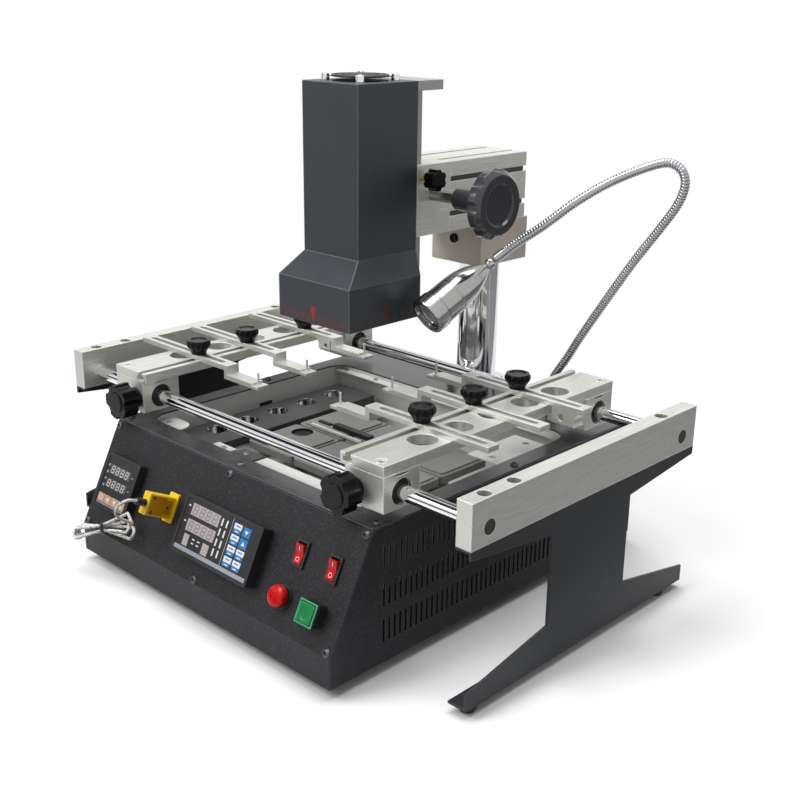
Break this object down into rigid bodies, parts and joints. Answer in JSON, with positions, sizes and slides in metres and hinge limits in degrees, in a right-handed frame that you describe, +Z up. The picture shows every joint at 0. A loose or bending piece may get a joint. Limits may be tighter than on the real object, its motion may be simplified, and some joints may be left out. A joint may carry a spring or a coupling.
{
  "type": "infrared rework station",
  "caption": "Benchtop rework station: sloped control cabinet with heater bay, sliding board table with clamp arms, and an overhead heater head on a rack lift with lamp.",
  "frame": {"origin": "bottom centre of the box around the station without its sensor cord, on the table under the feet", "axes": "+X to the right facing the panel, +Y to the back, +Z up"},
  "size_m": [0.493, 0.4127, 0.4255],
  "materials": {
    "case_paint": "fine grained powder coat",
    "stand_paint": "smooth dark coat",
    "liner_steel": "bright sheet",
    "aluminium": "satin anodised",
    "chrome": "polished",
    "steel": "turned",
    "black_plastic": "fine texture",
    "gloss_black": "glossy",
    "red_plastic": "glossy",
    "green_plastic": "glossy",
    "yellow_plastic": "satin",
    "braid": "braided glass fibre",
    "rubber": "matt",
    "ceramic": "dark glazed ceramic"
  },
  "bodies": {
    "station": {"base_pan": "case_paint", "left_side_panel": "case_paint", "right_side_panel": "case_paint", "front_panel": "case_paint", "top_deck": "case_paint", "cover_screws": "steel", "rubber_feet": "rubber", "bay_liner": "liner_steel", "lower_heaters": "ceramic", "heater_rails": "liner_steel", "board_support_bar": "case_paint", "lower_controller": "black_plastic", "upper_controller": "black_plastic", "panel_fittings": "gloss_black", "power_inlet": "black_plastic", "left_beam": "aluminium", "right_beam": "aluminium", "guide_rails": "chrome", "left_stand": "stand_paint", "right_stand": "stand_paint", "post": "chrome", "lamp_base": "stand_paint"},
    "lighting_switch": {"lighting_rocker": "red_plastic"},
    "fan_switch": {"fan_rocker": "red_plastic"},
    "stop_key": {"stop_button": "red_plastic"},
    "start_key": {"start_button": "green_plastic"},
    "sensor": {"sensor_plug": "yellow_plastic", "sensor_lead": "braid", "sensor_hank": "braid"},
    "left_slide": {"left_carriage": "aluminium", "left_bearings": "aluminium"},
    "left_lock": {"left_lock_knob": "black_plastic"},
    "right_slide": {"right_carriage": "aluminium", "right_bearings": "aluminium"},
    "right_lock": {"right_lock_knob": "black_plastic"},
    "left_bolt_front": {"left_knob_front": "black_plastic"},
    "left_board_front": {"left_arm_front": "aluminium"},
    "left_bolt_middle": {"left_knob_middle": "black_plastic"},
    "left_board_middle": {"left_arm_middle": "aluminium"},
    "left_bolt_rear": {"left_knob_rear": "black_plastic"},
    "left_board_rear": {"left_arm_rear": "aluminium"},
    "right_bolt_front": {"right_knob_front": "black_plastic"},
    "right_board_front": {"right_arm_front": "aluminium"},
    "right_bolt_middle": {"right_knob_middle": "black_plastic"},
    "right_board_middle": {"right_arm_middle": "aluminium"},
    "right_bolt_rear": {"right_knob_rear": "black_plastic"},
    "right_board_rear": {"right_arm_rear": "aluminium"},
    "boom": {"arm_clamp": "aluminium", "arm_beam": "aluminium", "slide_block": "aluminium"},
    "head_lock": {"head_lock_knob": "black_plastic"},
    "lift_drive": {"handwheel": "gloss_black", "pinion_shaft": "steel"},
    "head": {"head_column": "aluminium", "head_housing": "case_paint", "upper_heater": "ceramic", "fan_frame": "black_plastic"},
    "fan": {"fan_rotor": "black_plastic"},
    "lamp_neck": {"gooseneck": "chrome"},
    "lamp": {"lamp_head": "chrome"}
  },
  "joints": [
    {"name": "lighting_switch_tilt", "type": "hinge", "parent": "station", "child": "lighting_switch", "pos_m": [0.103, -0.16465, 0.0894], "axis": [1, 0, 0], "range_deg": [-18, 0]},
    {"name": "fan_switch_tilt", "type": "hinge", "parent": "station", "child": "fan_switch", "pos_m": [0.139, -0.16465, 0.0894], "axis": [1, 0, 0], "range_deg": [-18, 0]},
    {"name": "stop_press", "type": "slide", "parent": "station", "child": "stop_key", "axis": [0, 0.8954, -0.4452], "range_m": [0, 0.002], "stiffness_N_per_m": 400},
    {"name": "start_press", "type": "slide", "parent": "station", "child": "start_key", "axis": [0, 0.8954, -0.4452], "range_m": [0, 0.002], "stiffness_N_per_m": 400},
    {"name": "sensor_plug_pull", "type": "slide", "parent": "station", "child": "sensor", "axis": [0, -0.8954, 0.4452], "range_m": [0, 0.012]},
    {"name": "left_carriage_slide", "type": "slide", "parent": "station", "child": "left_slide", "axis": [1, 0, 0], "range_m": [-0.05, 0.025]},
    {"name": "right_carriage_slide", "type": "slide", "parent": "station", "child": "right_slide", "axis": [1, 0, 0], "range_m": [-0.025, 0.026]},
    {"name": "left_lock_turn", "type": "hinge", "parent": "left_slide", "child": "left_lock", "pos_m": [-0.146, -0.15464, 0.145], "axis": [0, 1, 0], "range_deg": [-90, 90]},
    {"name": "right_lock_turn", "type": "hinge", "parent": "right_slide", "child": "right_lock", "pos_m": [0.1345, -0.15464, 0.145], "axis": [0, 1, 0], "range_deg": [-90, 90]},
    {"name": "left_bolt_front_slide", "type": "slide", "parent": "left_slide", "child": "left_bolt_front", "axis": [0, 1, 0], "range_m": [-0.012, 0.012]},
    {"name": "left_arm_front_slide", "type": "slide", "parent": "left_bolt_front", "child": "left_board_front", "axis": [-1, 0, 0], "range_m": [-0.01, 0.02]},
    {"name": "left_bolt_middle_slide", "type": "slide", "parent": "left_slide", "child": "left_bolt_middle", "axis": [0, 1, 0], "range_m": [-0.012, 0.012]},
    {"name": "left_arm_middle_slide", "type": "slide", "parent": "left_bolt_middle", "child": "left_board_middle", "axis": [-1, 0, 0], "range_m": [-0.01, 0.02]},
    {"name": "left_bolt_rear_slide", "type": "slide", "parent": "left_slide", "child": "left_bolt_rear", "axis": [0, 1, 0], "range_m": [-0.012, 0.012]},
    {"name": "left_arm_rear_slide", "type": "slide", "parent": "left_bolt_rear", "child": "left_board_rear", "axis": [-1, 0, 0], "range_m": [-0.01, 0.014]},
    {"name": "right_bolt_front_slide", "type": "slide", "parent": "right_slide", "child": "right_bolt_front", "axis": [0, 1, 0], "range_m": [-0.012, 0.012]},
    {"name": "right_arm_front_slide", "type": "slide", "parent": "right_bolt_front", "child": "right_board_front", "axis": [1, 0, 0], "range_m": [-0.01, 0.02]},
    {"name": "right_bolt_middle_slide", "type": "slide", "parent": "right_slide", "child": "right_bolt_middle", "axis": [0, 1, 0], "range_m": [-0.012, 0.012]},
    {"name": "right_arm_middle_slide", "type": "slide", "parent": "right_bolt_middle", "child": "right_board_middle", "axis": [1, 0, 0], "range_m": [-0.01, 0.02]},
    {"name": "right_bolt_rear_slide", "type": "slide", "parent": "right_slide", "child": "right_bolt_rear", "axis": [0, 1, 0], "range_m": [-0.012, 0.012]},
    {"name": "right_arm_rear_slide", "type": "slide", "parent": "right_bolt_rear", "child": "right_board_rear", "axis": [1, 0, 0], "range_m": [-0.004, 0.01]},
    {"name": "boom_swivel", "type": "hinge", "parent": "station", "child": "boom", "pos_m": [0, 0.15336, 0.271], "axis": [0, 0, 1], "range_deg": [-35, 0]},
    {"name": "head_lift", "type": "slide", "parent": "boom", "child": "head", "axis": [0, 0, 1], "range_m": [-0.028, 0.035]},
    {"name": "handwheel_turn", "type": "hinge", "parent": "boom", "child": "lift_drive", "pos_m": [0, 0.05336, 0.325], "axis": [1, 0, 0], "range_deg": [-340, 275]},
    {"name": "head_lock_turn", "type": "hinge", "parent": "boom", "child": "head_lock", "pos_m": [0.04, 0.04036, 0.34], "axis": [1, 0, 0], "range_deg": [-90, 90]},
    {"name": "fan_spin", "type": "hinge", "parent": "head", "child": "fan", "pos_m": [0, -0.00364, 0.41], "axis": [0, 0, 1], "continuous": true},
    {"name": "lamp_swing", "type": "hinge", "parent": "station", "child": "lamp_neck", "pos_m": [0.08, 0.17136, 0.1415], "axis": [0, 0, 1], "range_deg": [0, 40]},
    {"name": "lamp_tilt", "type": "hinge", "parent": "lamp_neck", "child": "lamp", "pos_m": [0.076, 0.07636, 0.269], "axis": [0.9834, -0.1815, 0], "range_deg": [-15, 15]}
  ],
  "couplings": [
    {"joint": "handwheel_turn", "follows": "head_lift", "rad_per_m": -166.67}
  ]
}
